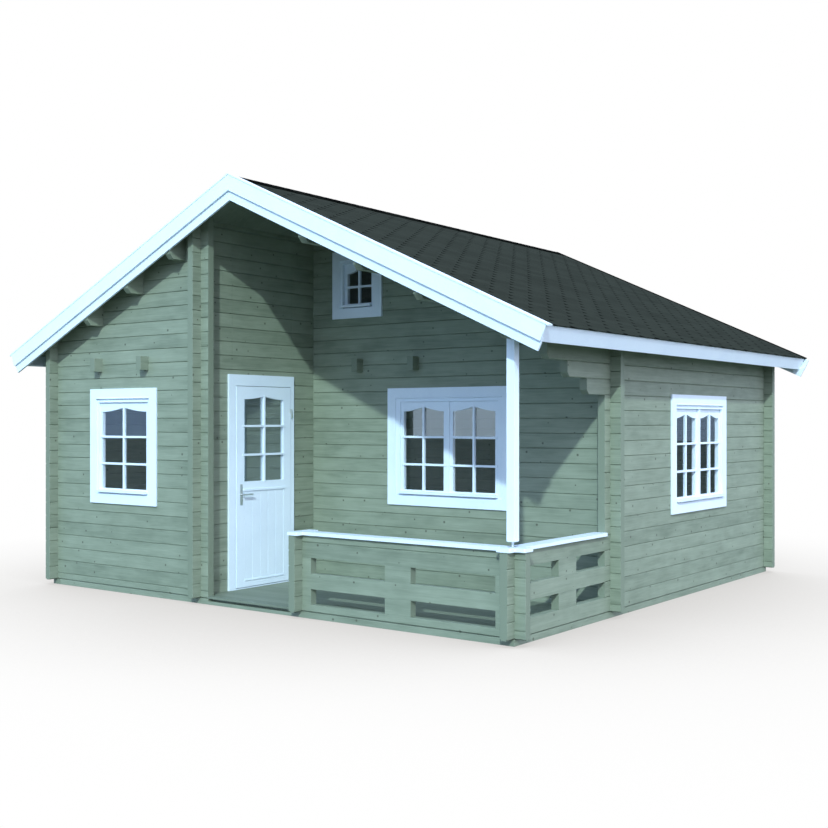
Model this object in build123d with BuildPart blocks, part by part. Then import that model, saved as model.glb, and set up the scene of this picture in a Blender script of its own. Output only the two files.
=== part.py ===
from build123d import *
from math import atan, cos, sin
import os

# A log cabin with a corner porch, in millimetres. +Z is up, the front gable faces -Y and the
# origin lies on the ground at the middle of the plan.

# Logs and base beams
log_course = 134.0
log_thickness = 70.0
log_end_reach = 100.0
groove_depth = 9.0
groove_height = 10.0
base_groove_depth = 14.0
base_groove_height = 9.0
base_beam_height = 54.0
base_beam_width = 110.0
floor_thickness = 21.0
step_slot_height = 25.0
step_slot_depth = 60.0
overrun = 50.0

# Plan, over the outer faces of the walls
front_room_width = 2233.0
porch_width = 3427.0
cabin_depth = 5408.0
porch_depth = 1575.0
cabin_width = front_room_width + porch_width

# Roof
roof_rise_share = 0.4606
side_wall_height = 2501.0
gable_overhang = 233.0
eave_overhang = 350.0
deck_thickness = 19.0
shingle_thickness = 8.0
shingle_lip = 12.0
ridge_cap_thickness = 4.0
ridge_cap_leg = 130.0
fascia_thickness = 21.0
fascia_height = 134.0

# Barge boards: an upper board, a lower board behind it and, at the front, a cover strip on top
barge_thickness = 21.0
barge_width = 125.0
lower_barge_lap = 25.0
lower_barge_show = 77.0
barge_end_reach = 410.0
strip_thickness = 15.0
strip_width = 60.0
strip_lip = 4.0
strip_end_reach = 435.0

# Purlins and loft
purlin_depth = 254.0
purlin_offsets = (840.0, 1445.0, 2055.0)
ridge_purlin_depth = 180.0
end_chamfer = 45.0
joist_first = 765.0
joist_spacing = 700.0
loft_floor_reach = 60.0

# Porch corbels and post
corbel_first_reach = 425.0
corbel_step = 330.0
corbel_chamfer = 38.0
post_gap = 45.0
post_foot_radius = 10.0
post_plate_thickness = 5.0
post_plate_size = 60.0

# Railing
rail_courses = 5
rail_top_cut = 5.0
way_in_width = 1205.0
stub_back_reach = 100.0
rail_end_block = 100.0
rail_middle_block = 265.0
side_middle_block = 290.0
cap_thickness = 28.0
cap_overhang = 30.0
cap_end_overhang = 10.0
cap_corner_round = 12.0

# Windows: trim boards on the wall, a lining through it, a sash and a pane
trim_width = 100.0
trim_thickness = 20.0
trim_lap = 60.0
lining_head_margin = 136.0
lining_low_margin = 104.0
single_lining_margin = 130.0
double_lining_margin = 152.0
side_lining_margin = 106.0
lining_proud = 8.0
mullion_width = 40.0
sash_depth = 40.0
sash_set_back = 4.0
sash_stile = 34.0
sash_top_rail = 94.0
sash_low_rail = 48.0
arch_rise = 42.0
arch_point_share = 0.2
glass_thickness = 4.0
glass_set_back = 14.0
single_window_width = 998.0
double_window_width = 1435.0
side_window_width = 1355.0
side_window_shift = 9.0
left_window_shift = 700.0
side_window_inset = 8.0
window_height = 1147.0
attic_window_width = 642.0
attic_window_height = 690.0
attic_window_inset = 25.0
front_window_shift = 10.0
front_window_sill = 878.0
porch_window_sill = 880.0
side_window_sill = 812.0
back_window_sill = 880.0
attic_window_gap = 276.0
attic_window_drop = 275.0

# Door
door_place = 440.0
door_width = 760.0
door_height = 1948.0
door_thickness = 40.0
door_proud = 25.0
door_gap = 6.0
door_foot_gap = 7.0
threshold_height = 10.0
jamb_thickness = 30.0
latch_trim_width = 90.0
hinge_trim_width = 52.0
head_trim_width = 108.0
door_stile = 105.0
door_top_rail = 125.0
door_glass_height = 800.0
door_middle_rail = 92.0
door_low_rail = 70.0
door_panel_recess = 7.0
door_arch_rise = 32.0

# Door hardware
hinge_radius = 7.0
hinge_stand_off = 8.0
hinge_knuckle_height = 45.0
hinge_pin_radius = 4.0
hinge_clearance = 0.3
hinge_flag_thickness = 3.0
hinge_flag_width = 16.0
hinge_flag_height = 40.0
hinge_end_distance = 260.0
handle_height = 900.0
handle_backset = 62.0
handle_plate_width = 34.0
handle_plate_height = 200.0
handle_plate_thickness = 4.0
handle_neck_radius = 8.0
handle_neck_length = 42.0
handle_lever_length = 125.0
handle_lever_thickness = 14.0

# Faces that other pieces line up with
left_face = -cabin_width / 2
right_face = cabin_width / 2
front_face = -cabin_depth / 2
back_face = cabin_depth / 2
left_inner = left_face + log_thickness
right_inner = right_face - log_thickness
front_inner = front_face + log_thickness
back_inner = back_face - log_thickness
entry_face = left_face + front_room_width
entry_inner = entry_face - log_thickness
porch_face = front_face + porch_depth
porch_inner = porch_face + log_thickness
stub_low = entry_face + way_in_width
stub_high = stub_low + log_thickness
floor_top = base_beam_height + floor_thickness

# Middle lines of the walls
left_line = left_face + log_thickness / 2
entry_line = entry_face - log_thickness / 2
right_line = right_face - log_thickness / 2
front_line = front_face + log_thickness / 2
porch_line = porch_face + log_thickness / 2
back_line = back_face - log_thickness / 2
stub_line = stub_low + log_thickness / 2

# Heights of the log joints: the two wall directions are half a course apart
joint_along_y = base_beam_height + log_course
joint_along_x = base_beam_height + log_course / 2
eave_course = int(side_wall_height // log_course) - 1
eave_log_low = base_beam_height + eave_course * log_course
joist_low = eave_log_low - log_course
rail_top = base_beam_height + rail_courses * log_course - rail_top_cut

# Roof planes: heights on the middle line, where a layer is thicker upright than square to the slope
slope_angle = atan(roof_rise_share)
under_ridge = base_beam_height + side_wall_height + roof_rise_share * cabin_width / 2
deck_ridge = under_ridge + deck_thickness / cos(slope_angle)
shingle_ridge = deck_ridge + shingle_thickness / cos(slope_angle)
eave_reach = cabin_width / 2 + eave_overhang
fascia_reach = eave_reach + fascia_thickness
barge_reach = cabin_width / 2 + barge_end_reach
strip_reach = cabin_width / 2 + strip_end_reach
roof_front = front_face - gable_overhang
roof_back = back_face + gable_overhang
deck_front = roof_front + barge_thickness
deck_back = roof_back - barge_thickness
purlin_front = deck_front + barge_thickness
purlin_back = deck_back - barge_thickness


def finish(piece, name):
    """Labels a finished piece and writes it."""
    piece.part.label = name
    export_step(piece.part, f"parts/{name}.step")


def across(y):
    """An upright plane at y, drawn with X to the right and Z up, that grows towards -Y."""
    return Plane(origin=(0, y, 0), x_dir=(1, 0, 0), z_dir=(0, -1, 0))


def along(x):
    """An upright plane at x, drawn with Y to the right and Z up, that grows towards +X."""
    return Plane(origin=(x, 0, 0), x_dir=(0, 1, 0), z_dir=(1, 0, 0))


def prism(plane, points, length, mode=Mode.ADD):
    """A straight prism on an outline."""
    with BuildSketch(plane) as outline:
        with BuildLine():
            Polyline(*points, close=True)
        make_face()
    extrude(outline.sketch, amount=length, mode=mode)


def block(x, y, z, mode=Mode.ADD):
    """A box between two values on each axis."""
    middle = tuple((low + high) / 2 for low, high in (x, y, z))
    with Locations(middle):
        Box(x[1] - x[0], y[1] - y[0], z[1] - z[0], mode=mode)


def log_section(low, high, first_joint):
    """Cross-section of stacked logs: a V groove on both faces at each joint, a square one over the base."""
    half = log_thickness / 2
    face = [(half, low)]
    if low == base_beam_height:
        inset = half - base_groove_depth
        foot = low + base_groove_height
        face = [(inset, low), (inset, foot), (half, foot)]
    joint = first_joint
    while joint < high - groove_height:
        if joint > low + groove_height:
            face.append((half, joint - groove_height / 2))
            face.append((half - groove_depth, joint))
            face.append((half, joint + groove_height / 2))
        joint += log_course
    face.append((half, high))
    return face + [(-side, height) for side, height in reversed(face)]


def logs_along_y(line, y_low, y_high, low, high):
    """Stacked logs that run front to back."""
    plane = Plane(origin=(line, y_high, 0), x_dir=(1, 0, 0), z_dir=(0, -1, 0))
    prism(plane, log_section(low, high, joint_along_y), y_high - y_low)


def logs_along_x(line, x_low, x_high, low, high):
    """Stacked logs that run from side to side."""
    plane = Plane(origin=(x_low, line, 0), x_dir=(0, 1, 0), z_dir=(1, 0, 0))
    prism(plane, log_section(low, high, joint_along_x), x_high - x_low)


def cut_above_roof():
    """Cuts a wall or a purlin along the underside of the roof boards."""
    side = strip_reach
    low = under_ridge - roof_rise_share * side
    outline = [(-side, low), (0, under_ridge), (side, low), (side, shingle_ridge), (-side, shingle_ridge)]
    prism(across(roof_back), outline, roof_back - roof_front, Mode.SUBTRACT)


def purlin_places():
    """Middle line and underside of each purlin, the ridge purlin first."""
    places = [(0, under_ridge - ridge_purlin_depth)]
    for offset in purlin_offsets:
        low = under_ridge - roof_rise_share * offset - purlin_depth
        places.append((-offset, low))
        places.append((offset, low))
    return places


def cut_purlins(y_low, y_high):
    """Cuts the notches that the purlins lie in."""
    for line, low in purlin_places():
        sides = (line - log_thickness / 2, line + log_thickness / 2)
        block(sides, (y_low, y_high), (low, shingle_ridge), Mode.SUBTRACT)


def joist_places():
    """Middle lines of the loft joists and where each starts at the front."""
    first = left_face + joist_first
    return [
        (first, front_face),
        (first + joist_spacing, front_face),
        (first + 3 * joist_spacing, porch_face),
        (first + 4 * joist_spacing, porch_face),
    ]


def cut_joists(y_low, y_high, start):
    """Cuts the notches for the loft joists that pass a cross wall."""
    for line, front in joist_places():
        if front <= start:
            sides = (line - log_thickness / 2, line + log_thickness / 2)
            block(sides, (y_low, y_high), (joist_low, joist_low + log_course), Mode.SUBTRACT)


def wall_hole(plane, width, height):
    """Cuts a window's hole right through a wall."""
    with BuildSketch(plane.offset(overrun)) as hole:
        Rectangle(width - 2 * trim_lap, height - 2 * trim_lap)
    extrude(hole.sketch, amount=-(log_thickness + 2 * overrun), mode=Mode.SUBTRACT)


def arched_outline(width, height, rise):
    """An upright opening, centred on its foot, whose top curves up to a point in the middle."""
    half = width / 2
    with BuildLine() as edge:
        Line((-half, 0), (half, 0))
        Line((half, 0), (half, height))
        Spline((half, height), (0, height + rise), tangents=((-1, 0), (-1, arch_point_share)))
        Spline((0, height + rise), (-half, height), tangents=((-1, -arch_point_share), (-1, 0)))
        Line((-half, height), (-half, 0))
    make_face(edge.edges())


def sash_places(width, margin):
    """Middles of a window's sashes, and the width of one: a wide window has a pair."""
    count = 2 if width > single_window_width else 1
    space = width - 2 * margin
    sash = (space - (count - 1) * mullion_width) / count
    first = -space / 2 + sash / 2
    return [first + number * (sash + mullion_width) for number in range(count)], sash


def window_frame(plane, width, height, margin):
    """Trim boards and lining of a window, as one joined frame."""
    places, sash = sash_places(width, margin)
    low = -height / 2 + lining_low_margin
    opening = height - lining_head_margin - lining_low_margin
    with BuildSketch(plane) as trim:
        Rectangle(width, height)
        Rectangle(width - 2 * trim_width, height - 2 * trim_width, mode=Mode.SUBTRACT)
    extrude(trim.sketch, amount=trim_thickness)
    with BuildSketch(plane.offset(-log_thickness)) as lining:
        Rectangle(width - 2 * trim_lap, height - 2 * trim_lap)
        for place in places:
            with Locations((place, low + opening / 2)):
                Rectangle(sash, opening, mode=Mode.SUBTRACT)
    extrude(lining.sketch, amount=log_thickness + lining_proud)


def sash_rings(plane, width, height, margin, inset):
    """The sashes of one window, set further into the wall by the inset."""
    places, sash = sash_places(width, margin)
    opening = height - lining_head_margin - lining_low_margin
    glass = opening - sash_top_rail - sash_low_rail
    low = -height / 2 + lining_low_margin
    back = plane.offset(-inset - sash_set_back - sash_depth)
    for place in places:
        with BuildSketch(back) as outside:
            with Locations((place, low + opening / 2)):
                Rectangle(sash, opening)
        extrude(outside.sketch, amount=sash_depth)
        with BuildSketch(pane_foot(back, place, low)) as inside:
            arched_outline(sash - 2 * sash_stile, glass, arch_rise)
        extrude(inside.sketch, amount=sash_depth, mode=Mode.SUBTRACT)


def pane_foot(plane, place, low):
    """The plane of a pane, with its origin in the middle of the pane's lower edge."""
    origin = plane.from_local_coords((place, low + sash_low_rail, 0))
    return Plane(origin=origin, x_dir=plane.x_dir, z_dir=plane.z_dir)


def panes(plane, width, height, margin, inset):
    """The panes of one window, set further into the wall by the inset."""
    places, sash = sash_places(width, margin)
    opening = height - lining_head_margin - lining_low_margin
    glass = opening - sash_top_rail - sash_low_rail
    low = -height / 2 + lining_low_margin
    back = plane.offset(-inset - glass_set_back - glass_thickness)
    for place in places:
        with BuildSketch(pane_foot(back, place, low)) as pane:
            arched_outline(sash - 2 * sash_stile, glass, arch_rise)
        extrude(pane.sketch, amount=glass_thickness)


def window_plane(face, place, sill, height):
    """The outer face of a wall at a window's middle, seen from outside."""
    middle = sill + height / 2
    if face == "right":
        return Plane(origin=(right_face, place, middle), x_dir=(0, 1, 0), z_dir=(1, 0, 0))
    if face == "left":
        return Plane(origin=(left_face, place, middle), x_dir=(0, -1, 0), z_dir=(-1, 0, 0))
    if face == "back":
        return Plane(origin=(place, back_face, middle), x_dir=(-1, 0, 0), z_dir=(0, 1, 0))
    front = porch_face if face == "porch" else front_face
    return Plane(origin=(place, front, middle), x_dir=(1, 0, 0), z_dir=(0, -1, 0))


# Windows: middles of their walls, and the attic window beside the entry wall and under the roof
front_window_place = (left_face + entry_face) / 2 + front_window_shift
porch_window_place = (entry_face + right_face) / 2
side_window_place = (porch_face + back_face) / 2 + side_window_shift
attic_low = entry_face + attic_window_gap
attic_high = attic_low + attic_window_width
attic_corner = max(abs(attic_low), abs(attic_high))
attic_window_top = under_ridge - roof_rise_share * attic_corner - attic_window_drop
attic_window_sill = attic_window_top - attic_window_height

front_window = window_plane("front", front_window_place, front_window_sill, window_height)
porch_window = window_plane("porch", porch_window_place, porch_window_sill, window_height)
attic_window = window_plane("porch", (attic_low + attic_high) / 2, attic_window_sill, attic_window_height)
right_window = window_plane("right", side_window_place, side_window_sill, window_height)
left_window = window_plane("left", side_window_place + left_window_shift, side_window_sill, window_height)
back_window = window_plane("back", 0, back_window_sill, window_height)
windows = [
    (front_window, single_window_width, window_height, single_lining_margin, 0),
    (porch_window, double_window_width, window_height, double_lining_margin, 0),
    (attic_window, attic_window_width, attic_window_height, single_lining_margin, attic_window_inset),
    (right_window, side_window_width, window_height, side_lining_margin, side_window_inset),
    (left_window, side_window_width, window_height, side_lining_margin, side_window_inset),
    (back_window, double_window_width, window_height, double_lining_margin, 0),
]

# Door places: the leaf, the hole around its jambs and the hinge axis
door_low = front_face + door_place
door_high = door_low + door_width
door_foot = floor_top + threshold_height + door_foot_gap
door_head = door_foot + door_height
hole_low = door_low - door_gap - jamb_thickness
hole_high = door_high + door_gap + jamb_thickness
hole_head = door_head + door_gap + jamb_thickness
door_outer = entry_face + door_proud
door_inner = door_outer - door_thickness
door_middle = (door_low + door_high) / 2
hinge_x = door_outer + hinge_stand_off
hinge_y = door_high + door_gap / 2
hinge_heights = (door_foot + hinge_end_distance, door_head - hinge_end_distance)

os.makedirs("parts", exist_ok=True)

# Base beams: front to back under the side walls and the entry wall
with BuildPart() as side_beams:
    low_high = (0, base_beam_height)
    block((left_face, left_face + base_beam_width), (front_face, back_face), low_high)
    block((right_face - base_beam_width, right_face), (front_face, back_face), low_high)
    inner_run = (front_face + base_beam_width, back_face - base_beam_width)
    block((entry_face - base_beam_width, entry_face), inner_run, low_high)
finish(side_beams, "side_base_beams")

# Base beams from side to side, between the ones above, with a slot under the floor's edge at the way in
with BuildPart() as cross_beams:
    low_high = (0, base_beam_height)
    full_run = (left_face + base_beam_width, right_face - base_beam_width)
    block(full_run, (front_face, front_face + base_beam_width), low_high)
    slot_run = (entry_face + log_end_reach, stub_low)
    slot_heights = (base_beam_height - step_slot_height, base_beam_height)
    block(slot_run, (front_face, front_face + step_slot_depth), slot_heights, Mode.SUBTRACT)
    block(full_run, (back_face - base_beam_width, back_face), low_high)
    porch_run = (entry_face, right_face - base_beam_width)
    block(porch_run, (porch_face, porch_face + base_beam_width), low_high)
finish(cross_beams, "cross_base_beams")

# Floor of the two rooms, which open into each other
with BuildPart() as cabin_floor:
    rooms = [
        (left_inner, front_inner),
        (entry_inner, front_inner),
        (entry_inner, porch_inner),
        (right_inner, porch_inner),
        (right_inner, back_inner),
        (left_inner, back_inner),
    ]
    prism(Plane.XY.offset(base_beam_height), rooms, floor_thickness)
finish(cabin_floor, "cabin_floor")

# Porch floor, which reaches the front edge at the way in
with BuildPart() as porch_floor:
    boards = [
        (entry_face + log_end_reach, front_face),
        (stub_low, front_face),
        (stub_low, front_inner),
        (right_inner, front_inner),
        (right_inner, porch_face),
        (entry_face, porch_face),
        (entry_face, front_inner),
        (entry_face + log_end_reach, front_inner),
    ]
    prism(Plane.XY.offset(base_beam_height), boards, floor_thickness)
    stub_end = front_inner + stub_back_reach
    block((stub_low, stub_high), (front_inner, stub_end), (base_beam_height, floor_top), Mode.SUBTRACT)
finish(porch_floor, "porch_floor")

# Left wall, with its log ends past both corners
with BuildPart() as left_wall:
    log_run = (front_face - log_end_reach, back_face + log_end_reach)
    logs_along_y(left_line, *log_run, base_beam_height, under_ridge)
    cut_above_roof()
    wall_hole(left_window, side_window_width, window_height)
finish(left_wall, "left_wall")

# Right wall, from the porch to the back
with BuildPart() as right_wall:
    log_run = (porch_face - log_end_reach, back_face + log_end_reach)
    logs_along_y(right_line, *log_run, base_beam_height, under_ridge)
    cut_above_roof()
    wall_hole(right_window, side_window_width, window_height)
finish(right_wall, "right_wall")

# Eave log over the porch, on three corbel logs that step back to the wall
with BuildPart() as corbels:
    corbel_front = front_face - log_end_reach
    corbel_back = porch_face - log_end_reach
    corbel_low = eave_log_low - 3 * log_course
    logs_along_y(right_line, corbel_front, corbel_back, corbel_low, under_ridge)
    ends = [porch_face - corbel_first_reach - step * corbel_step for step in range(3)] + [corbel_front]
    steps = [(corbel_back, corbel_low)]
    for course, end in enumerate(ends):
        height = corbel_low + course * log_course
        steps.append((end + corbel_chamfer, height))
        steps.append((end, height + corbel_chamfer))
        steps.append((end, height + log_course))
    steps[-1] = (corbel_front, under_ridge)
    steps.append((corbel_back, under_ridge))
    prism(along(right_inner), steps, log_thickness, Mode.INTERSECT)
    cut_above_roof()
finish(corbels, "porch_eave_logs")

# Front wall of the front room, with log ends outside both corners
with BuildPart() as front_wall:
    logs_along_x(front_line, left_inner, entry_inner, base_beam_height, under_ridge)
    logs_along_x(front_line, left_face - log_end_reach, left_face, base_beam_height, under_ridge)
    logs_along_x(front_line, entry_face, entry_face + log_end_reach, base_beam_height, under_ridge)
    cut_above_roof()
    cut_purlins(front_face, front_inner)
    cut_joists(front_face, front_inner, front_face)
    wall_hole(front_window, single_window_width, window_height)
finish(front_wall, "front_wall")

# Porch wall, set back from the front, with the log ends inside and outside its corners
with BuildPart() as porch_wall:
    logs_along_x(porch_line, entry_face, right_inner, base_beam_height, under_ridge)
    logs_along_x(porch_line, right_face, right_face + log_end_reach, base_beam_height, under_ridge)
    logs_along_x(porch_line, entry_inner - log_end_reach, entry_inner, floor_top, joist_low)
    cut_above_roof()
    cut_purlins(porch_face, porch_inner)
    for line, front in joist_places():
        notch = (line - log_thickness / 2, line + log_thickness / 2)
        if front == porch_face:
            block(notch, (porch_face, porch_inner), (joist_low, joist_low + log_course), Mode.SUBTRACT)
    wall_hole(porch_window, double_window_width, window_height)
    wall_hole(attic_window, attic_window_width, attic_window_height)
finish(porch_wall, "porch_wall")

# Back wall
with BuildPart() as back_wall:
    logs_along_x(back_line, left_inner, right_inner, base_beam_height, under_ridge)
    logs_along_x(back_line, left_face - log_end_reach, left_face, base_beam_height, under_ridge)
    logs_along_x(back_line, right_face, right_face + log_end_reach, base_beam_height, under_ridge)
    cut_above_roof()
    cut_purlins(back_inner, back_face)
    cut_joists(back_inner, back_face, porch_face)
    wall_hole(back_window, double_window_width, window_height)
finish(back_wall, "back_wall")

# Entry wall, split in front of, behind and over the doorway
with BuildPart() as entry_front:
    logs_along_y(entry_line, front_face - log_end_reach, hole_low, base_beam_height, under_ridge)
    cut_above_roof()
    cut_purlins(front_face - log_end_reach, hole_low)
finish(entry_front, "entry_wall_front")

with BuildPart() as entry_back:
    logs_along_y(entry_line, hole_high, porch_inner, base_beam_height, under_ridge)
    cut_above_roof()
    cut_purlins(hole_high, porch_inner)
finish(entry_back, "entry_wall_back")

with BuildPart() as entry_top:
    logs_along_y(entry_line, hole_low, hole_high, hole_head, under_ridge)
    cut_above_roof()
    cut_purlins(hole_low, hole_high)
finish(entry_top, "entry_wall_top")

# Loft joists, whose ends show outside the walls
with BuildPart() as joists:
    for line, front in joist_places():
        joist_sides = (line - log_thickness / 2, line + log_thickness / 2)
        joist_run = (front - log_end_reach, back_face + log_end_reach)
        block(joist_sides, joist_run, (joist_low, joist_low + log_course))
finish(joists, "loft_joists")

# Loft floor behind the attic window, on the joists
with BuildPart() as loft_floor:
    loft_right = joist_places()[-1][0] + log_thickness / 2 + loft_floor_reach
    loft = [
        (left_inner, front_inner),
        (entry_inner, front_inner),
        (entry_inner, porch_inner),
        (loft_right, porch_inner),
        (loft_right, back_inner),
        (left_inner, back_inner),
    ]
    prism(Plane.XY.offset(joist_low + log_course), loft, floor_thickness)
finish(loft_floor, "loft_floor")

# Purlins, three to a slope and one under the ridge, with their lower corners cut off
with BuildPart() as purlins:
    for line, low in purlin_places():
        run = [
            (purlin_front, shingle_ridge),
            (purlin_front, low + end_chamfer),
            (purlin_front + end_chamfer, low),
            (purlin_back - end_chamfer, low),
            (purlin_back, low + end_chamfer),
            (purlin_back, shingle_ridge),
        ]
        prism(along(line - log_thickness / 2), run, log_thickness)
    cut_above_roof()
finish(purlins, "purlins")


def below(side, point, depth):
    """The point at a depth below one slope, square to it."""
    return (point[0] - side * depth * sin(slope_angle), point[1] - depth * cos(slope_angle))


def slope_outline(side, top, width, reach):
    """Outline of a board or a layer on one slope, upright at the ridge and square cut at the eave."""
    end = (side * reach, top - roof_rise_share * reach)
    return [(0, top), end, below(side, end, width), (0, top - width / cos(slope_angle))]


# Both slopes of the roof, each from the ridge to its eave
for side, name in ((-1, "left"), (1, "right")):
    with BuildPart() as deck:
        layer = slope_outline(side, deck_ridge, deck_thickness, eave_reach)
        prism(across(deck_back), layer, deck_back - deck_front)
    finish(deck, f"{name}_roof_deck")

    with BuildPart() as shingles:
        layer = slope_outline(side, shingle_ridge, shingle_thickness, fascia_reach + shingle_lip)
        shingle_back = roof_back + strip_lip
        prism(across(shingle_back), layer, shingle_back - deck_front)
    finish(shingles, f"{name}_shingles")

    with BuildPart() as barges:
        for plane_y, top in ((deck_front, shingle_ridge), (roof_back, deck_ridge)):
            prism(across(plane_y), slope_outline(side, top, barge_width, barge_reach), barge_thickness)
    finish(barges, f"{name}_barge_boards")

    with BuildPart() as lower_barges:
        lap = barge_width - lower_barge_lap
        lower_width = lower_barge_lap + lower_barge_show
        lower_reach = barge_reach - lap * sin(slope_angle)
        for plane_y, top in ((purlin_front, shingle_ridge), (deck_back, deck_ridge)):
            lower_top = top - lap / cos(slope_angle)
            prism(across(plane_y), slope_outline(side, lower_top, lower_width, lower_reach), barge_thickness)
    finish(lower_barges, f"{name}_lower_barge_boards")

    with BuildPart() as strips:
        strip_top = shingle_ridge + strip_thickness / cos(slope_angle)
        strip = slope_outline(side, strip_top, strip_thickness, strip_reach)
        prism(across(roof_front - strip_lip + strip_width), strip, strip_width)
    finish(strips, f"{name}_barge_strips")

# Fascia boards under the shingles' edge on both eaves
with BuildPart() as fascias:
    for side in (-1, 1):
        inner = (side * eave_reach, deck_ridge - roof_rise_share * eave_reach)
        outer = (side * fascia_reach, deck_ridge - roof_rise_share * fascia_reach)
        outline = [inner, outer, below(side, outer, fascia_height), below(side, inner, fascia_height)]
        prism(across(purlin_back), outline, purlin_back - purlin_front)
finish(fascias, "eave_fascias")

# Ridge cap from the cover strips to the back edge
with BuildPart() as ridge_cap:
    cap_drop = roof_rise_share * ridge_cap_leg
    cap_depth = ridge_cap_thickness / cos(slope_angle)
    outline = [
        (0, shingle_ridge + cap_depth),
        (ridge_cap_leg, shingle_ridge + cap_depth - cap_drop),
        (ridge_cap_leg, shingle_ridge - cap_drop),
        (0, shingle_ridge),
        (-ridge_cap_leg, shingle_ridge - cap_drop),
        (-ridge_cap_leg, shingle_ridge + cap_depth - cap_drop),
    ]
    cap_front = roof_front - strip_lip + strip_width
    cap_back = roof_back + strip_lip
    prism(across(cap_back), outline, cap_back - cap_front)
finish(ridge_cap, "ridge_cap")

# Railing columns of short logs: the stub beside the way in, and the corner
with BuildPart() as columns:
    column_front = front_face - log_end_reach
    logs_along_y(stub_line, column_front, front_inner + stub_back_reach, base_beam_height, rail_top)
    logs_along_y(right_line, column_front, front_inner, base_beam_height, rail_top)
finish(columns, "railing_columns")

# Front rails, with a log height left open between them, and the log ends outside the corner
with BuildPart() as front_rails:
    half_course = log_course / 2
    row = base_beam_height + half_course
    logs_along_x(front_line, stub_high, right_inner, base_beam_height, row)
    logs_along_x(front_line, stub_high, right_inner, row + log_course, row + 2 * log_course)
    logs_along_x(front_line, stub_high, right_inner, row + 3 * log_course, rail_top)
    logs_along_x(front_line, right_face, right_face + log_end_reach, base_beam_height, rail_top)
finish(front_rails, "front_rails")

# Side rails
with BuildPart() as side_rails:
    for course in (0, 2, 4):
        low = base_beam_height + course * log_course
        high = min(low + log_course, rail_top)
        logs_along_y(right_line, front_inner, porch_face - log_end_reach, low, high)
finish(side_rails, "side_rails")


# Short logs that keep the front rails apart
with BuildPart() as front_blocks:
    rail_middle = (stub_high + right_inner) / 2
    for course in (0, 2):
        low = base_beam_height + (course + 1 / 2) * log_course
        heights = (low, low + log_course)
        middle_ends = (rail_middle - rail_middle_block / 2, rail_middle + rail_middle_block / 2)
        block((stub_high, stub_high + rail_end_block), (front_face, front_inner), heights)
        block(middle_ends, (front_face, front_inner), heights)
        block((right_inner - rail_end_block, right_inner), (front_face, front_inner), heights)
finish(front_blocks, "front_rail_blocks")

# Short logs that keep the side rails apart
with BuildPart() as side_blocks:
    rail_middle = (front_inner + porch_face) / 2
    for course in (1, 3):
        low = base_beam_height + course * log_course
        heights = (low, low + log_course)
        middle_ends = (rail_middle - side_middle_block / 2, rail_middle + side_middle_block / 2)
        block((right_inner, right_face), (front_inner, front_inner + rail_end_block), heights)
        block((right_inner, right_face), middle_ends, heights)
finish(side_blocks, "side_rail_blocks")

# Cap boards on the railing, joined where they cross
with BuildPart() as rail_cap:
    with BuildSketch(Plane.XY.offset(rail_top)) as cap_plan:
        cap_low = front_face - log_end_reach - cap_end_overhang
        spans = [
            (stub_low - cap_end_overhang, right_face + log_end_reach + cap_end_overhang,
             front_face - cap_overhang, front_inner + cap_overhang),
            (stub_low - cap_end_overhang, stub_high + cap_overhang,
             cap_low, front_inner + stub_back_reach + cap_end_overhang),
            (right_inner - cap_overhang, right_face + cap_overhang,
             cap_low, porch_face - log_end_reach),
        ]
        for x_low, x_high, y_low, y_high in spans:
            with Locations(((x_low + x_high) / 2, (y_low + y_high) / 2)):
                RectangleRounded(x_high - x_low, y_high - y_low, cap_corner_round)
    extrude(amount=cap_thickness)
finish(rail_cap, "railing_cap")

# Corner post from the cap to the eave log
post_low = rail_top + cap_thickness + post_gap
with BuildPart() as post:
    block((right_inner, right_face), (front_face, front_inner), (post_low, eave_log_low))
finish(post, "porch_post")

# Screw foot under the post
with BuildPart() as post_foot:
    with Locations((right_line, front_line, rail_top + cap_thickness + post_gap / 2)):
        Cylinder(post_foot_radius, post_gap)
    for plate_low in (rail_top + cap_thickness, post_low - post_plate_thickness):
        with Locations((right_line, front_line, plate_low + post_plate_thickness / 2)):
            Box(post_plate_size, post_plate_size, post_plate_thickness)
finish(post_foot, "post_foot")

# Windows: all frames, all sashes and all panes
with BuildPart() as frames:
    for plane, width, height, margin, inset in windows:
        window_frame(plane, width, height, margin)
finish(frames, "window_frames")

with BuildPart() as sashes:
    for plane, width, height, margin, inset in windows:
        sash_rings(plane, width, height, margin, inset)
finish(sashes, "window_sashes")

with BuildPart() as window_panes:
    for plane, width, height, margin, inset in windows:
        panes(plane, width, height, margin, inset)
finish(window_panes, "window_glass")

# Door frame: jambs and head through the wall, trim on its face and a threshold
with BuildPart() as door_frame:
    lining_x = (entry_inner, entry_face)
    trim_x = (entry_face, entry_face + trim_thickness)
    jamb_low = door_low - door_gap
    jamb_high = door_high + door_gap
    jamb_head = door_head + door_gap
    block(lining_x, (hole_low, jamb_low), (floor_top, hole_head))
    block(lining_x, (jamb_high, hole_high), (floor_top, hole_head))
    block(lining_x, (jamb_low, jamb_high), (jamb_head, hole_head))
    block(lining_x, (hole_low, hole_high), (base_beam_height, floor_top + threshold_height))
    block(trim_x, (jamb_low, jamb_high), (floor_top, floor_top + threshold_height))
    block(trim_x, (jamb_low - latch_trim_width, jamb_low), (floor_top, jamb_head + head_trim_width))
    block(trim_x, (jamb_high, jamb_high + hinge_trim_width), (floor_top, jamb_head + head_trim_width))
    block(trim_x, (jamb_low, jamb_high), (jamb_head, jamb_head + head_trim_width))
finish(door_frame, "door_frame")

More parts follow.
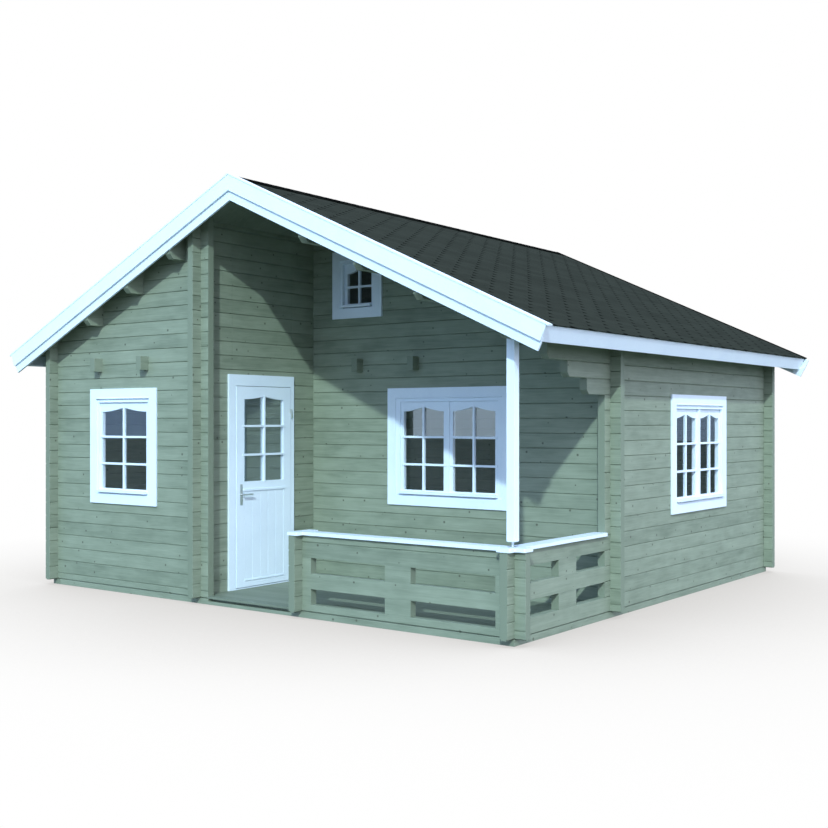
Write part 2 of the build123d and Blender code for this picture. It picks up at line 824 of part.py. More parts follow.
# Door leaf: a pane with a curved top over a recessed panel
glass_low = door_head - door_top_rail - door_glass_height
door_glass_width = door_width - 2 * door_stile
pane_plane = Plane(origin=(door_inner, door_middle, glass_low), x_dir=(0, 1, 0), z_dir=(1, 0, 0))
with BuildPart() as door_leaf:
    block((door_inner, door_outer), (door_low, door_high), (door_foot, door_head))
    with BuildSketch(pane_plane):
        arched_outline(door_glass_width, door_glass_height, door_arch_rise)
    extrude(amount=door_thickness, mode=Mode.SUBTRACT)
    panel_low = door_foot + door_low_rail
    panel_high = glass_low - door_middle_rail
    panel_y = (door_middle - door_glass_width / 2, door_middle + door_glass_width / 2)
    inner_recess = (door_inner, door_inner + door_panel_recess)
    outer_recess = (door_outer - door_panel_recess, door_outer)
    for recess in (inner_recess, outer_recess):
        block(recess, panel_y, (panel_low, panel_high), Mode.SUBTRACT)
finish(door_leaf, "door_leaf")

with BuildPart() as door_pane:
    with BuildSketch(pane_plane.offset((door_thickness - glass_thickness) / 2)):
        arched_outline(door_glass_width, door_glass_height, door_arch_rise)
    extrude(amount=glass_thickness)
finish(door_pane, "door_glass")

# Lever handles with back plates, outside and inside
with BuildPart() as handles:
    handle_y = door_low + handle_backset
    handle_z = door_foot + handle_height
    plate_y = (handle_y - handle_plate_width / 2, handle_y + handle_plate_width / 2)
    plate_z = (handle_z - handle_plate_height / 2, handle_z + handle_plate_height / 2)
    for face, side in ((door_outer, 1), (door_inner, -1)):
        plate_x = sorted((face, face + side * handle_plate_thickness))
        block(plate_x, plate_y, plate_z)
        with Locations(Location((face + side * handle_neck_length / 2, handle_y, handle_z), (0, 90, 0))):
            Cylinder(handle_neck_radius, handle_neck_length)
        tip = face + side * handle_neck_length
        lever_x = sorted((tip - side * handle_lever_thickness, tip))
        lever_y = (handle_y - handle_neck_radius, handle_y + handle_lever_length)
        lever_z = (handle_z - handle_lever_thickness / 2, handle_z + handle_lever_thickness / 2)
        block(lever_x, lever_y, lever_z)
finish(handles, "door_handles")

# Hinges: pins on the frame's trim, and sleeves on the leaf that sit on them
with BuildPart() as hinge_pins:
    for height in hinge_heights:
        with Locations((hinge_x, hinge_y, height - hinge_knuckle_height / 2)):
            Cylinder(hinge_radius, hinge_knuckle_height)
        with Locations((hinge_x, hinge_y, height)):
            Cylinder(hinge_pin_radius, hinge_knuckle_height * 2 - 2 * hinge_clearance)
        flag_x = (entry_face + trim_thickness, hinge_x)
        flag_y = (jamb_high, jamb_high + hinge_flag_width)
        flag_low = height - hinge_knuckle_height / 2 - hinge_flag_height / 2
        flag_z = (flag_low, flag_low + hinge_flag_height)
        block(flag_x, flag_y, flag_z)
        block((hinge_x - hinge_flag_thickness, hinge_x), (hinge_y, jamb_high), flag_z)
finish(hinge_pins, "door_hinge_pins")

with BuildPart() as hinge_sleeves:
    for height in hinge_heights:
        sleeve_low = height + hinge_clearance
        sleeve_middle = sleeve_low + hinge_knuckle_height / 2
        with Locations((hinge_x, hinge_y, sleeve_middle)):
            Cylinder(hinge_radius, hinge_knuckle_height)
        flag_z = (sleeve_middle - hinge_flag_height / 2, sleeve_middle + hinge_flag_height / 2)
        flag_x = (door_outer, door_outer + hinge_flag_thickness)
        block(flag_x, (door_high - hinge_flag_width, hinge_y), flag_z)
        with Locations((hinge_x, hinge_y, sleeve_middle)):
            Cylinder(hinge_pin_radius + hinge_clearance, hinge_knuckle_height, mode=Mode.SUBTRACT)
finish(hinge_sleeves, "door_hinge_sleeves")
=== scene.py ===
import math
import random

import bmesh
import bpy
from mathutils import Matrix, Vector


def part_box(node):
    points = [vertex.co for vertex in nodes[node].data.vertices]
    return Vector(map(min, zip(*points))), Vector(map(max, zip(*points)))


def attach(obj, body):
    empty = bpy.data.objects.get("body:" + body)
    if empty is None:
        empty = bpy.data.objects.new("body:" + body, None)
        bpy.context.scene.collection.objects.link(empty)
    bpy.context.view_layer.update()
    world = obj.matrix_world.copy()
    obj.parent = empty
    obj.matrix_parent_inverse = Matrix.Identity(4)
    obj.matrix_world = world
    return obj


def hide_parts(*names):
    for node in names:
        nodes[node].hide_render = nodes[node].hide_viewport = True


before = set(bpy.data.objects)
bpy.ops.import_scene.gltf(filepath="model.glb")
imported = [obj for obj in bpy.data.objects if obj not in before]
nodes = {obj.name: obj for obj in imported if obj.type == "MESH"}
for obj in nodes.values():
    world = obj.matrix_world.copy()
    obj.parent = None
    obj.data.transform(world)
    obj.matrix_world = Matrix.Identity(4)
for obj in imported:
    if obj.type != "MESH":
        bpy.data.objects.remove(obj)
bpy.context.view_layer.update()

RANDOM_SEED = 7

# Camera of the photograph, level, in the part's frame
CAMERA_PLACE = (7.393, -10.095, 1.710)
CAMERA_PITCH = math.radians(90.0)
CAMERA_YAW = math.radians(36.69)
CAMERA_LENS = 49.84
CAMERA_SENSOR = 36.0
CAMERA_SHIFT = 0.0077

# Sun, by the way that its light travels
SUN_TRAVEL = (-0.58, 1.0, -0.713)
SUN_STRENGTH = 2.85
SUN_COLOUR = (0.775, 0.98, 0.98)
SUN_ANGLE = math.radians(1.3)

# Sky: each paler part fades in between two shares of a direction along X, the back direction or Y
WHITE = (1.0, 1.0, 1.0)
SKY_COLOUR = (0.67, 0.98, 1.48)
GLOW_COLOUR = (2.14, 2.24, 2.74)
GLOW_SHARES = (0.15, 1.0)
BACK_COLOUR = (1.10, 1.22, 1.35)
BACK_DIRECTION = (-0.6, 0.8, 0.0)
BACK_SHARES = (0.30, 1.0)
SUNWARD_COLOUR = (1.80, 2.20, 2.55)
SUNWARD_SHARES = (-0.68, -0.74)

# White floor that throws little light back and has soft shade where the walls close it in
FLOOR_SIZE = 160.0
FLOOR_BOUNCE = (0.15, 0.16, 0.12)
FLOOR_SHADE = (0.62, 0.61, 0.595)
FLOOR_SHADE_REACH = 4.5
FLOOR_SHADE_SHARES = (0.30, 0.97)
FLOOR_SHADE_SAMPLES = 16

# Textures: scales are per metre, and stop shares say where along a tone each colour lies
NOISE_ROUGHNESS = 0.6
MIDDLE_TONE = 0.5

# Stained logs, with scales along and across the grain
STAIN_DARK = (0.160, 0.194, 0.140)
STAIN_MIDDLE = (0.228, 0.269, 0.200)
STAIN_PALE = (0.282, 0.325, 0.247)
STAIN_STOP_SHARES = (0.33, 0.50, 0.67)
LOG_ROUGHNESS = 0.60
LOG_GRAIN_SHIFT = 37.0
LOG_TONE_SHARE = 0.09
LOG_BUMP = 0.25
LOG_BUMP_DEPTH = 0.002
STREAK_SCALES = (1.6, 22.0)
STREAK_DETAIL = 6.0
STREAK_ROUGHNESS = 0.62
STREAK_DISTORTION = 0.6
STREAK_SHARE = 0.40
FINE_SCALES = (5.0, 150.0)
FINE_DETAIL = 3.0
FINE_SHARE = 0.25
PATCH_SCALES = (3.0, 6.0)
PATCH_DETAIL = 2.0
PATCH_SHARE = 0.35
KNOT_COLOUR = (0.060, 0.060, 0.038)
KNOT_SPACING = 0.26
KNOT_SMALL = 0.003
KNOT_LARGE = 0.011
KNOT_EDGE_SHARES = (0.6, 1.4)
KNOT_COVER_SHARE = 0.85
END_FACING_SHARE = 0.7
RING_SCALE = 60.0
RING_DISTORTION = 2.5
RING_DETAIL = 2.0
RING_STOP_SHARES = (0.0, 1.0)

# White paint
PAINT_COLOUR = (0.78, 0.88, 0.98)
PAINT_WORN = (0.74, 0.84, 0.95)
PAINT_STOP_SHARES = (0.38, 0.55)
PAINT_ROUGHNESS = 0.40
PAINT_BUMP = 0.06
PAINT_BUMP_DEPTH = 0.001
BRUSH_SCALE = 70.0
BRUSH_DETAIL = 5.0
BRUSH_SHARE = 0.4
WEAR_SCALE = 3.0
WEAR_DETAIL = 3.0
WEAR_SHARE = 0.6

# Bitumen of the shingles
SHINGLE_DARK = (0.003, 0.0033, 0.003)
SHINGLE_PALE = (0.0325, 0.0355, 0.0285)
SHINGLE_STOP_SHARES = (0.25, 0.75)
SHINGLE_ROUGHNESS = 0.92
SHINGLE_GLOSS = 0.0
SHINGLE_BUMP = 0.5
SHINGLE_BUMP_DEPTH = 0.002
SHINGLE_TONE_SHARE = 0.55
GRANULE_SCALE = 520.0
GRANULE_DETAIL = 2.0
GRANULE_SHARE = 0.30
WEATHERING_SCALE = 2.0
WEATHERING_DETAIL = 3.0
WEATHERING_SHARE = 0.15

# Stained boards and bare pine boards
BOARD_DARK = (0.150, 0.180, 0.135)
BOARD_PALE = (0.225, 0.260, 0.200)
PINE_DARK = (0.40, 0.36, 0.25)
PINE_PALE = (0.58, 0.53, 0.40)
BOARD_STOP_SHARES = (0.30, 0.70)
BOARD_ROUGHNESS = 0.68
BOARD_BUMP = 0.2
BOARD_BUMP_DEPTH = 0.002
BOARD_TONE_SHARE = 0.35
BOARD_GRAIN_SCALES = (1.2, 45.0, 45.0)
BOARD_GRAIN_DETAIL = 6.0
BOARD_GRAIN_ROUGHNESS = 0.65
BOARD_GRAIN_SHARE = 0.65

# Glass, whose cover share says how much of what lies behind it is hidden, and brushed metals
GLASS_TINT = (0.88, 0.95, 1.0)
GLASS_ROUGHNESS = 0.0
GLASS_MIRROR_SHARE = 0.90
GLASS_COVER_SHARE = 0.07
DOOR_GLASS_COVER_SHARE = 0.30
GLASS_WAVE_SCALE = 2.0
GLASS_WAVE_DETAIL = 1.0
GLASS_BUMP = 0.02
GLASS_BUMP_DEPTH = 0.01
STEEL_COLOUR = (0.72, 0.73, 0.72)
ZINC_COLOUR = (0.80, 0.82, 0.76)
METAL_ROUGHNESS = 0.30
METAL_MARK_SCALES = (900.0, 900.0, 60.0)
METAL_MARK_DETAIL = 2.0
METAL_MARK_ROUGHNESSES = (0.24, 0.42)

# Logs and roof, as the frame has them
LOG_COURSE = 0.134
LOG_THICKNESS = 0.070
LOG_END = 0.100
BASE_TOP = 0.054
ROOF_RISE_SHARE = 0.4606
SLOPE = math.atan(ROOF_RISE_SHARE)
DECK_THICKNESS = 0.019
SHINGLE_THICKNESS = 0.008

# Shingles: courses of tabs with cut corners, pressed into an underlay whose near-black tone is painted shade
# where it shows between them
UNDERLAY_THICKNESS = 0.0055
# Tone of the underlay, also given to the back verge strip: the darkest bitumen, painted shade in the slits
# and cut corners between the tabs
UNDERLAY_SHADE_TONE = 0.0
TAB_WIDTH = 0.2967
TAB_START = 0.145
TAB_SLIT = 0.004
TAB_EXPOSURE = 0.0992
TAB_LAP = 0.010
TAB_CUT_WIDTH = 0.048
TAB_CUT_HEIGHT = 0.045
TAB_CUT_PARTS = 3
TAB_THICKNESS = 0.0016
TAB_SINK = 0.0013
TAB_STEP = 0.0004
TAB_TONES = (0.80, 1.0)
VERGE_STRIP_WIDTH = 0.020
VERGE_STRIP_PROUD = 0.010
RIDGE_EXPOSURE = 0.140
RIDGE_LENGTH = 0.200
RIDGE_TAB_THICKNESS = 0.0025
RIDGE_TONES = (0.0, 0.2)

# Boards of the roof and the floors
ROOF_BOARD_WIDTH = 0.095
ROOF_BOARD_ROUND = 0.003
FLOOR_BOARD_WIDTH = 0.118
FLOOR_BOARD_ROUND = 0.0015
PORCH_BOARD_GAP = 0.002
ROOM_BOARD_GAP = 0.0012

# Glazing bars, where a facing is an axis and the way along it
BAR_WIDTH = 0.021
BAR_PROUD = 0.007
BAR_EAR = 0.028
BAR_FOOT = 0.010
BAR_ROUND = 0.002
INNER_BAR_DEPTH = 0.008
SASH_STEP = 0.010
ARCH_RISE = 0.042
WINDOW_BAR_SHARES = (0.325, 0.675)
ATTIC_BAR_SHARES = (0.55,)
ATTIC_PANE_HEIGHT = 0.5
DOOR_SASH_STEP = 0.018
DOOR_ARCH_RISE = 0.032
DOOR_FACING = (0, 1)

# Weather bar at the foot of each window's sashes, and the beads over the sashes
WEATHER_BAR_HEIGHT = 0.024
WEATHER_BAR_PROUD = 0.026
WEATHER_BAR_LIFT = 0.009
TRIM_WIDTH = 0.100
LINING_STEP = 0.012
HEAD_BEAD_HEIGHT = 0.008
HEAD_BEAD_PROUD = 0.009

# Door boards, the ledge over them and the bead at their foot
DOOR_STILE = 0.105
DOOR_PANEL_LOW = 0.070
DOOR_PANEL_HEIGHT = 0.861
DOOR_PANEL_RECESS = 0.007
DOOR_BOARD_COUNT = 5
DOOR_BOARD_GAP = 0.0022
DOOR_BOARD_THICKNESS = 0.005
DOOR_LEDGE_HEIGHT = 0.022
DOOR_LEDGE_PROUD = 0.008
DOOR_LEDGE_REACH = 0.020
DOOR_BEAD_HEIGHT = 0.010
DOOR_BEAD_PROUD = 0.007

# Rounded edges
PAINT_ROUND = 0.0015
LOG_ROUND = 0.002
STEEL_ROUND = 0.002
NO_ROUND = 0
WELD_DISTANCE = 0.00002
ROUND_SEGMENTS = 2
ROUND_ANGLE = math.radians(40.0)


def opaque(colour):
    """A colour with full cover."""
    return (*colour, 1.0)


def even_scales(scale):
    """The same scale along each axis."""
    return (scale, scale, scale)


def add(tree, kind, inputs=None, **settings):
    """A node with its settings and inputs; an input is a value or another node's output."""
    made = tree.nodes.new(kind)
    for name, value in settings.items():
        setattr(made, name, value)
    for socket, value in (inputs or {}).items():
        if isinstance(value, bpy.types.NodeSocket):
            tree.links.new(value, made.inputs[socket])
        else:
            made.inputs[socket].default_value = value
    return made


def sum_of(tree, operation, first, second=0.0, third=0.0):
    """The output of one sum."""
    inputs = {0: first, 1: second, 2: third}
    return add(tree, "ShaderNodeMath", inputs, operation=operation).outputs[0]


def weighted_sum(tree, *parts):
    """The sum of (value, share) parts."""
    value, share = parts[0]
    total = sum_of(tree, "MULTIPLY", value, share)
    for value, share in parts[1:]:
        total = sum_of(tree, "MULTIPLY_ADD", value, share, total)
    return total


def fade(tree, value, limits, results=(0.0, 1.0)):
    """Goes from the first result to the second as a value goes from one limit to the other."""
    inputs = {
        "Value": value,
        "From Min": limits[0],
        "From Max": limits[1],
        "To Min": results[0],
        "To Max": results[1],
    }
    return add(tree, "ShaderNodeMapRange", inputs).outputs["Result"]


def blend_of(tree, factor, first, second):
    """The colour between two colours."""
    made = add(tree, "ShaderNodeMix", data_type="RGBA")
    sockets = {"Factor_Float": factor, "A_Color": first, "B_Color": second}
    for socket in made.inputs:
        value = sockets.get(socket.identifier)
        if value is None:
            continue
        if isinstance(value, bpy.types.NodeSocket):
            tree.links.new(value, socket)
        else:
            socket.default_value = value
    return next(socket for socket in made.outputs if socket.identifier == "Result_Color")


def ramp(tree, factor, shares, colours):
    """The colour at a factor, from a row of colours and the share at which each one lies."""
    made = add(tree, "ShaderNodeValToRGB", {"Fac": factor})
    elements = made.color_ramp.elements
    while len(elements) < len(colours):
        elements.new(1.0)
    for element, share, colour in zip(elements, shares, colours):
        element.position = share
        element.color = opaque(colour)
    return made.outputs["Color"]


def noise(tree, vector, detail, roughness=NOISE_ROUGHNESS, distortion=0.0):
    """Noise at unit scale on a vector that is scaled already."""
    inputs = {
        "Vector": vector,
        "Scale": 1.0,
        "Detail": detail,
        "Roughness": roughness,
        "Distortion": distortion,
    }
    return add(tree, "ShaderNodeTexNoise", inputs).outputs["Fac"]


def stretched(tree, scale):
    """The place on the object, scaled along each axis, as a texture's vector."""
    place = add(tree, "ShaderNodeTexCoord").outputs["Object"]
    return add(tree, "ShaderNodeMapping", {"Vector": place, "Scale": scale}).outputs["Vector"]


def own_tone(tree):
    """The tone that a mesh holds for each of its small solids."""
    return add(tree, "ShaderNodeAttribute", attribute_name="tone").outputs["Fac"]


def new_material(name, roughness):
    """A material with a principled surface."""
    made = bpy.data.materials.new(name)
    made.use_nodes = True
    surface = made.node_tree.nodes["Principled BSDF"]
    surface.inputs["Roughness"].default_value = roughness
    return made, made.node_tree, surface


def put_colour(tree, surface, colour):
    """Gives a surface a colour that changes over it."""
    tree.links.new(colour, surface.inputs["Base Color"])


def put_bump(tree, surface, height, strength, distance):
    """Gives a surface small relief."""
    inputs = {"Strength": strength, "Distance": distance, "Height": height}
    bump = add(tree, "ShaderNodeBump", inputs)
    tree.links.new(bump.outputs["Normal"], surface.inputs["Normal"])


def log_grain(tree, along, side, height):
    """Streaks, fine grain and broad patches, all long in the log's direction."""

    def grain_vector(scales):
        return add(tree, "ShaderNodeCombineXYZ", {
            "X": sum_of(tree, "MULTIPLY", along, scales[0]),
            "Y": sum_of(tree, "MULTIPLY", side, scales[1]),
            "Z": sum_of(tree, "MULTIPLY", height, scales[1]),
        }).outputs[0]

    streak = noise(tree, grain_vector(STREAK_SCALES), STREAK_DETAIL, STREAK_ROUGHNESS, STREAK_DISTORTION)
    fine = noise(tree, grain_vector(FINE_SCALES), FINE_DETAIL)
    patch = noise(tree, grain_vector(PATCH_SCALES), PATCH_DETAIL)
    return weighted_sum(tree, (streak, STREAK_SHARE), (fine, FINE_SHARE), (patch, PATCH_SHARE))


def log_knots(tree, along, height):
    """How strongly a knot covers each place. Each cell of a loose grid has one, of its own size."""
    place = add(tree, "ShaderNodeCombineXYZ", {"X": along, "Y": height}).outputs[0]
    cell_inputs = {"Vector": place, "Scale": 1 / KNOT_SPACING}
    cells = add(tree, "ShaderNodeTexVoronoi", cell_inputs, voronoi_dimensions="2D").outputs
    own_size = add(tree, "ShaderNodeSeparateColor", {"Color": cells["Color"]}).outputs["Red"]
    spread = (KNOT_LARGE - KNOT_SMALL) / KNOT_SPACING
    radius = sum_of(tree, "MULTIPLY_ADD", own_size, spread, KNOT_SMALL / KNOT_SPACING)
    distance = sum_of(tree, "DIVIDE", cells["Distance"], radius)
    return fade(tree, distance, KNOT_EDGE_SHARES, (KNOT_COVER_SHARE, 0.0))


def log_rings(tree, side, courses, tone):
    """The year rings at the end of each log."""
    height = sum_of(tree, "MULTIPLY", sum_of(tree, "FRACT", courses), LOG_COURSE)
    place = add(tree, "ShaderNodeCombineXYZ", {"X": side, "Y": height, "Z": tone}).outputs[0]
    inputs = {"Vector": place, "Scale": RING_SCALE, "Distortion": RING_DISTORTION, "Detail": RING_DETAIL}
    rings = add(tree, "ShaderNodeTexWave", inputs, wave_type="RINGS", rings_direction="Z").outputs["Fac"]
    return ramp(tree, rings, RING_STOP_SHARES, (STAIN_DARK, STAIN_MIDDLE))


def log_stain(name, run, side, first_joint):
    """Stained logs that run along one axis, with a tone for each log, knots and end grain."""
    made, tree, surface = new_material(name, LOG_ROUGHNESS)
    place = add(tree, "ShaderNodeTexCoord").outputs["Object"]
    split = add(tree, "ShaderNodeSeparateXYZ", {"Vector": place}).outputs
    courses = sum_of(tree, "DIVIDE", sum_of(tree, "SUBTRACT", split["Z"], first_joint), LOG_COURSE)
    course = sum_of(tree, "FLOOR", courses)
    tone = add(tree, "ShaderNodeTexWhiteNoise", {"W": course}, noise_dimensions="1D").outputs["Value"]
    along = sum_of(tree, "MULTIPLY_ADD", tone, LOG_GRAIN_SHIFT, split[run])
    grain = log_grain(tree, along, split[side], split["Z"])
    log_tone = sum_of(tree, "SUBTRACT", tone, MIDDLE_TONE)
    toned = sum_of(tree, "MULTIPLY_ADD", log_tone, LOG_TONE_SHARE, grain)
    stain = ramp(tree, toned, STAIN_STOP_SHARES, (STAIN_DARK, STAIN_MIDDLE, STAIN_PALE))
    stain = blend_of(tree, log_knots(tree, along, split["Z"]), stain, opaque(KNOT_COLOUR))
    normal = add(tree, "ShaderNodeNewGeometry").outputs["Normal"]
    facing = add(tree, "ShaderNodeSeparateXYZ", {"Vector": normal}).outputs[run]
    is_end = sum_of(tree, "GREATER_THAN", sum_of(tree, "ABSOLUTE", facing), END_FACING_SHARE)
    end_grain = log_rings(tree, split[side], courses, tone)
    put_colour(tree, surface, blend_of(tree, is_end, stain, end_grain))
    put_bump(tree, surface, grain, LOG_BUMP, LOG_BUMP_DEPTH)
    return made


def paint(name):
    """White paint with faint brush marks and worn patches."""
    made, tree, surface = new_material(name, PAINT_ROUGHNESS)
    brush = noise(tree, stretched(tree, even_scales(BRUSH_SCALE)), BRUSH_DETAIL)
    wear = noise(tree, stretched(tree, even_scales(WEAR_SCALE)), WEAR_DETAIL)
    tone = weighted_sum(tree, (wear, WEAR_SHARE), (brush, BRUSH_SHARE))
    put_colour(tree, surface, ramp(tree, tone, PAINT_STOP_SHARES, (PAINT_WORN, PAINT_COLOUR)))
    put_bump(tree, surface, brush, PAINT_BUMP, PAINT_BUMP_DEPTH)
    return made


def bitumen(name):
    """Granulated bitumen whose tone changes from tab to tab."""
    made, tree, surface = new_material(name, SHINGLE_ROUGHNESS)
    surface.inputs["Specular IOR Level"].default_value = SHINGLE_GLOSS
    granules = noise(tree, stretched(tree, even_scales(GRANULE_SCALE)), GRANULE_DETAIL)
    weathering = noise(tree, stretched(tree, even_scales(WEATHERING_SCALE)), WEATHERING_DETAIL)
    tone = weighted_sum(
        tree,
        (granules, GRANULE_SHARE),
        (own_tone(tree), SHINGLE_TONE_SHARE),
        (weathering, WEATHERING_SHARE),
    )
    put_colour(tree, surface, ramp(tree, tone, SHINGLE_STOP_SHARES, (SHINGLE_DARK, SHINGLE_PALE)))
    put_bump(tree, surface, granules, SHINGLE_BUMP, SHINGLE_BUMP_DEPTH)
    return made


def boards(name, dark, pale):
    """Boards with grain along X, each with its own tone."""
    made, tree, surface = new_material(name, BOARD_ROUGHNESS)
    grain_vector = stretched(tree, BOARD_GRAIN_SCALES)
    grain = noise(tree, grain_vector, BOARD_GRAIN_DETAIL, BOARD_GRAIN_ROUGHNESS)
    tone = weighted_sum(tree, (grain, BOARD_GRAIN_SHARE), (own_tone(tree), BOARD_TONE_SHARE))
    put_colour(tree, surface, ramp(tree, tone, BOARD_STOP_SHARES, (dark, pale)))
    put_bump(tree, surface, grain, BOARD_BUMP, BOARD_BUMP_DEPTH)
    return made


def glass(name, cover):
    """Thin clear glass that mirrors a little, with a faint film and faint waves."""
    made, tree, surface = new_material(name, GLASS_ROUGHNESS)
    surface.inputs["Base Color"].default_value = opaque(GLASS_TINT)
    surface.inputs["Metallic"].default_value = GLASS_MIRROR_SHARE
    surface.inputs["Alpha"].default_value = cover
    waves = noise(tree, stretched(tree, even_scales(GLASS_WAVE_SCALE)), GLASS_WAVE_DETAIL)
    put_bump(tree, surface, waves, GLASS_BUMP, GLASS_BUMP_DEPTH)
    return made


def brushed_metal(name, colour):
    """Brushed metal whose roughness changes along fine scratches."""
    made, tree, surface = new_material(name, METAL_ROUGHNESS)
    surface.inputs["Base Color"].default_value = opaque(colour)
    surface.inputs["Metallic"].default_value = 1.0
    marks = noise(tree, stretched(tree, METAL_MARK_SCALES), METAL_MARK_DETAIL)
    roughness = fade(tree, marks, (0.0, 1.0), METAL_MARK_ROUGHNESSES)
    tree.links.new(roughness, surface.inputs["Roughness"])
    return made


LOGS_X = log_stain("logs_along_x", "X", "Y", BASE_TOP - LOG_COURSE / 2)
LOGS_Y = log_stain("logs_along_y", "Y", "X", BASE_TOP)
PAINT = paint("white_paint")
BITUMEN = bitumen("shingles")
BOARDS = boards("stained_boards", BOARD_DARK, BOARD_PALE)
PINE = boards("pine_boards", PINE_DARK, PINE_PALE)
GLASS = glass("glass", GLASS_COVER_SHARE)
DOOR_GLASS = glass("door_glass", DOOR_GLASS_COVER_SHARE)
STEEL = brushed_metal("steel", STEEL_COLOUR)
ZINC = brushed_metal("zinc", ZINC_COLOUR)

# Finish and edge rounding of the nodes that keep their own shape
KEPT_NODES = [
    (LOGS_X, LOG_ROUND, (
        "front_wall", "porch_wall", "back_wall", "front_rails", "front_rail_blocks", "cross_base_beams",
    )),
    (LOGS_Y, LOG_ROUND, (
        "left_wall", "right_wall", "porch_eave_logs", "entry_wall_front", "entry_wall_back", "entry_wall_top",
        "loft_joists", "purlins", "railing_columns", "side_rails", "side_rail_blocks", "side_base_beams",
    )),
    (PAINT, PAINT_ROUND, (
        "porch_post", "left_barge_boards", "right_barge_boards", "left_lower_barge_boards",
        "right_lower_barge_boards", "left_barge_strips", "right_barge_strips", "eave_fascias",
        "railing_cap", "window_frames", "window_sashes", "door_frame", "door_leaf",
    )),
    (STEEL, STEEL_ROUND, ("post_foot", "door_handles")),
    (ZINC, NO_ROUND, ("door_hinge_pins", "door_hinge_sleeves")),
    (GLASS, NO_ROUND, ("window_glass",)),
    (DOOR_GLASS, NO_ROUND, ("door_glass",)),
]


def round_edges(piece, width):
    """Softens a piece's sharp edges."""
    weld = piece.modifiers.new("weld", "WELD")
    weld.merge_threshold = WELD_DISTANCE
    rounding = piece.modifiers.new("rounding", "BEVEL")
    rounding.width = width
    rounding.segments = ROUND_SEGMENTS
    rounding.limit_method = "ANGLE"
    rounding.angle_limit = ROUND_ANGLE


def finish_nodes():
    """Gives the kept nodes their finish and soft edges."""
    for finish, width, names in KEPT_NODES:
        for name in names:
            nodes[name].data.materials.clear()
            nodes[name].data.materials.append(finish)
            if width:
                round_edges(nodes[name], width)


class Pile:
    """Gathers the corners and faces of many small solids for one mesh."""

    def __init__(self):
        self.corners = []
        self.faces = []
        self.tones = []

    def solid(self, lower, upper, tone):
        """A solid between two rings of corners, both anticlockwise seen from the upper ring's side."""
        start = len(self.corners)
        count = len(lower)
        self.corners += [tuple(corner) for corner in lower + upper]
        self.tones += [tone] * (2 * count)
        self.faces.append(tuple(start + place for place in reversed(range(count))))
        self.faces.append(tuple(start + count + place for place in range(count)))
        for place in range(count):
            after = (place + 1) % count
            self.faces.append((start + place, start + after, start + count + after, start + count + place))

    def box(self, x, y, z, tone=MIDDLE_TONE):
        """A box between two values on each axis."""
        ring = [(x[0], y[0]), (x[1], y[0]), (x[1], y[1]), (x[0], y[1])]
        self.solid([(u, v, z[0]) for u, v in ring], [(u, v, z[1]) for u, v in ring], tone)

    def piece(self, name, material, body, slot, replaced=(), rounding=NO_ROUND):
        """The finished mesh, riding on its body."""
        mesh = bpy.data.meshes.new(name)
        mesh.from_pydata(self.corners, [], self.faces)
        mesh.attributes.new("tone", "FLOAT", "POINT").data.foreach_set("value", self.tones)
        mesh.materials.append(material)
        made = bpy.data.objects.new(name, mesh)
        bpy.context.scene.collection.objects.link(made)
        if rounding:
            round_edges(made, rounding)
        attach(made, body)
        if replaced:
            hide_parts(*replaced)


def rows_between(low, high, width, gap, shift=0.0):
    """Pairs of edges of rows, cut off at both ends."""
    start = low - shift
    while start < high:
        row = (max(low, start), min(high, start + width - gap))
        if row[1] - row[0] > gap:
            yield row
        start += width


def on_slope(side, ridge, down, y, lift):
    """A point on one slope: how far down from the ridge, where along Y and how far off the slope."""
    x = down * math.cos(SLOPE) + lift * math.sin(SLOPE)
    z = ridge - down * math.sin(SLOPE) + lift * math.cos(SLOPE)
    return (side * x, y, z)


def slope_solid(pile, side, ridge, ring, thickness, tone):
    """A flat piece on one slope over a ring of (down, y, lift) corners, thickness upwards."""
    if side < 0:
        ring = ring[::-1]
    foot = [on_slope(side, ridge, *corner) for corner in ring]
    top = [on_slope(side, ridge, down, y, lift + thickness) for down, y, lift in ring]
    pile.solid(foot, top, tone)


def slope_ring(down, y, lift):
    """The corners of a plain rectangle on a slope."""
    return [(down[0], y[0], lift), (down[1], y[0], lift), (down[1], y[1], lift), (down[0], y[1], lift)]


def tab_ring(upper, lower, y, lift):
    """The corners of a shingle tab whose lower corners are cut off and whose lower end stands up a little."""
    cut = lower - TAB_CUT_HEIGHT
    low_lift = lift + TAB_STEP
    cut_lift = low_lift - TAB_STEP * TAB_CUT_HEIGHT / (lower - upper)
    slant = min(TAB_CUT_WIDTH, (y[1] - y[0]) / TAB_CUT_PARTS)
    return [
        (upper, y[0], lift),
        (cut, y[0], cut_lift),
        (lower, y[0] + slant, low_lift),
        (lower, y[1] - slant, low_lift),
        (cut, y[1], cut_lift),
        (upper, y[1], lift),
    ]


def slope_reach(node):
    """Ridge height and length down the slope of a roof layer, with its ends along Y."""
    low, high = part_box(node)
    return high.z, max(abs(low.x), abs(high.x)) / math.cos(SLOPE), low.y, high.y


